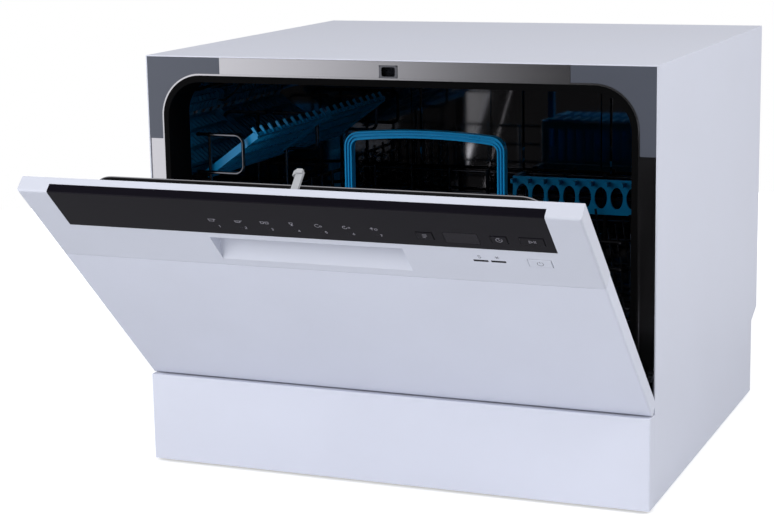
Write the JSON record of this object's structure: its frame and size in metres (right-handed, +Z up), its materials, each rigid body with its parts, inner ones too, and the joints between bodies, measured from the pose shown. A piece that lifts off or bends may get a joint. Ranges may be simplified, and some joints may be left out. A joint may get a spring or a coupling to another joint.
{
  "type": "countertop dishwasher",
  "caption": "Compact free-standing dishwasher for a worktop: drop-down door with pocket handle and control strip, steel tub, rolling wire rack, fold-up cup shelves, cutlery basket.",
  "frame": {"origin": "on the worktop, at the centre of the footprint with the door open as drawn", "axes": "+X to the right seen from the front, +Y to the back, +Z up"},
  "size_m": [0.551, 0.7412, 0.438],
  "materials": {
    "white_enamel": "semi-gloss",
    "white_plastic": "satin",
    "black_gloss": "gloss",
    "dark_window": "gloss",
    "grey_plastic": "matte",
    "stainless": "bright",
    "zinc_steel": "matt",
    "chrome_wire": "bright",
    "blue_plastic": "satin",
    "clear_plastic": "satin",
    "black_plastic": "matte",
    "black_rubber": "matte",
    "grey_moulding": "matte",
    "felt": "matte",
    "board_green": "satin"
  },
  "bodies": {
    "cabinet": {"feet": "black_rubber", "base_tray": "black_plastic", "plinth": "white_enamel", "side_panel_left": "white_enamel", "side_panel_right": "white_enamel", "top_panel": "white_enamel", "back_panel": "zinc_steel", "front_frame": "stainless", "front_strip": "stainless", "corner_brackets": "grey_plastic", "latch_keeper": "chrome_wire", "tub_wrapper": "stainless", "tub_back_wall": "stainless", "tub_floor": "stainless", "door_seals": "black_rubber", "hinge_brackets": "zinc_steel", "door_springs": "zinc_steel", "rack_rails": "stainless", "sump": "grey_moulding", "microfilter_plate": "stainless", "softener": "clear_plastic", "wash_pump": "black_plastic", "drain_pump": "black_plastic", "spray_hub": "stainless", "inlet_valve": "clear_plastic", "drain_spigot": "grey_moulding", "cable_gland": "black_plastic", "inner_hoses": "black_rubber", "air_break": "clear_plastic", "back_screws": "zinc_steel"},
    "door": {"door_outer_panel": "white_enamel", "door_liner": "stainless", "door_felt": "felt", "control_housing": "white_plastic", "control_fascia": "black_gloss", "panel_lenses": "dark_window", "control_board": "board_green", "dispenser_body": "grey_moulding", "hinge_arms": "zinc_steel", "latch_hook": "clear_plastic"},
    "detergent_lid": {"detergent_lid": "grey_moulding"},
    "rinse_aid_cap": {"rinse_aid_cap": "black_plastic"},
    "button_program": {"button_program": "black_gloss"},
    "button_delay": {"button_delay": "black_gloss"},
    "button_start": {"button_start": "black_gloss"},
    "button_power": {"button_power": "white_plastic"},
    "latch_pawl": {"latch_pawl": "grey_moulding"},
    "spray_arm": {"spray_arm": "grey_moulding"},
    "filter_cup": {"filter_cup": "grey_moulding"},
    "salt_cap": {"salt_cap": "grey_moulding"},
    "rack": {"rack_basket": "chrome_wire", "wheel_holders": "grey_moulding", "stem_rest": "blue_plastic"},
    "rack_wheels_front": {"rack_wheels_front": "grey_moulding"},
    "rack_wheels_rear": {"rack_wheels_rear": "grey_moulding"},
    "cutlery_basket": {"cutlery_basket": "blue_plastic"},
    "basket_lid_front": {"basket_lid_front": "blue_plastic"},
    "basket_lid_rear": {"basket_lid_rear": "blue_plastic"},
    "cup_shelf_front": {"cup_shelf_front": "blue_plastic"},
    "cup_shelf_rear": {"cup_shelf_rear": "blue_plastic"}
  },
  "joints": [
    {"name": "door_hinge", "type": "hinge", "parent": "cabinet", "child": "door", "pos_m": [0, -0.12867, 0.106], "axis": [1, 0, 0], "range_deg": [-45.8, 44.2], "deforming": ["door_springs"]},
    {"name": "rack_slide", "type": "slide", "parent": "cabinet", "child": "rack", "axis": [0, -1, 0], "range_m": [0, 0.04]},
    {"name": "front_wheels_roll", "type": "hinge", "parent": "rack", "child": "rack_wheels_front", "pos_m": [0, -0.02117, 0.158], "axis": [1, 0, 0], "range_deg": [-5, 215]},
    {"name": "rear_wheels_roll", "type": "hinge", "parent": "rack", "child": "rack_wheels_rear", "pos_m": [0, 0.26383, 0.158], "axis": [1, 0, 0], "range_deg": [-5, 215]},
    {"name": "cup_shelf_front_fold", "type": "hinge", "parent": "rack", "child": "cup_shelf_front", "pos_m": [-0.2355, 0.02383, 0.304], "axis": [0, -1, 0], "range_deg": [-36, 49]},
    {"name": "cup_shelf_rear_fold", "type": "hinge", "parent": "rack", "child": "cup_shelf_rear", "pos_m": [-0.2355, 0.20383, 0.304], "axis": [0, -1, 0], "range_deg": [-36, 49]},
    {"name": "cutlery_basket_lift", "type": "slide", "parent": "rack", "child": "cutlery_basket", "axis": [0, 0, 1], "range_m": [0, 0.04]},
    {"name": "basket_lid_front_flap", "type": "hinge", "parent": "cutlery_basket", "child": "basket_lid_front", "pos_m": [0, -0.06417, 0.2822], "axis": [1, 0, 0], "range_deg": [0, 100]},
    {"name": "basket_lid_rear_flap", "type": "hinge", "parent": "cutlery_basket", "child": "basket_lid_rear", "pos_m": [0, 0.02583, 0.2822], "axis": [-1, 0, 0], "range_deg": [0, 100]},
    {"name": "spray_arm_spin", "type": "hinge", "parent": "cabinet", "child": "spray_arm", "pos_m": [0, 0.13383, 0.1315], "axis": [0, 0, 1], "continuous": true},
    {"name": "filter_twist", "type": "hinge", "parent": "cabinet", "child": "filter_cup", "pos_m": [-0.095, 0.05883, 0.118], "axis": [0, 0, 1], "range_deg": [0, 90]},
    {"name": "salt_cap_turn", "type": "hinge", "parent": "cabinet", "child": "salt_cap", "pos_m": [-0.195, -0.00617, 0.12], "axis": [0, 0, 1], "range_deg": [0, 270]},
    {"name": "detergent_lid_slide", "type": "slide", "parent": "door", "child": "detergent_lid", "axis": [0, -0.7169, 0.6972], "range_m": [0, 0.062]},
    {"name": "rinse_aid_cap_turn", "type": "hinge", "parent": "door", "child": "rinse_aid_cap", "pos_m": [0.012, -0.18652, 0.22223], "axis": [0, 0.6972, 0.7169], "range_deg": [0, 90]},
    {"name": "latch_pawl_tilt", "type": "hinge", "parent": "cabinet", "child": "latch_pawl", "pos_m": [0, -0.10617, 0.4325], "axis": [1, 0, 0], "range_deg": [-12, 0], "stiffness_Nm_per_rad": 0.05, "springref_deg": 8.59},
    {"name": "button_program_press", "type": "slide", "parent": "door", "child": "button_program", "axis": [0, 0.6972, 0.7169], "range_m": [0, 0.001], "stiffness_N_per_m": 600, "springref_m": -0.001},
    {"name": "button_delay_press", "type": "slide", "parent": "door", "child": "button_delay", "axis": [0, 0.6972, 0.7169], "range_m": [0, 0.001], "stiffness_N_per_m": 600, "springref_m": -0.001},
    {"name": "button_start_press", "type": "slide", "parent": "door", "child": "button_start", "axis": [0, 0.6972, 0.7169], "range_m": [0, 0.001], "stiffness_N_per_m": 600, "springref_m": -0.001},
    {"name": "button_power_press", "type": "slide", "parent": "door", "child": "button_power", "axis": [0, 0.6972, 0.7169], "range_m": [0, 0.001], "stiffness_N_per_m": 600, "springref_m": -0.001}
  ],
  "couplings": [
    {"joint": "front_wheels_roll", "follows": "rack_slide", "rad_per_m": 90.909},
    {"joint": "rear_wheels_roll", "follows": "rack_slide", "rad_per_m": 90.909}
  ]
}
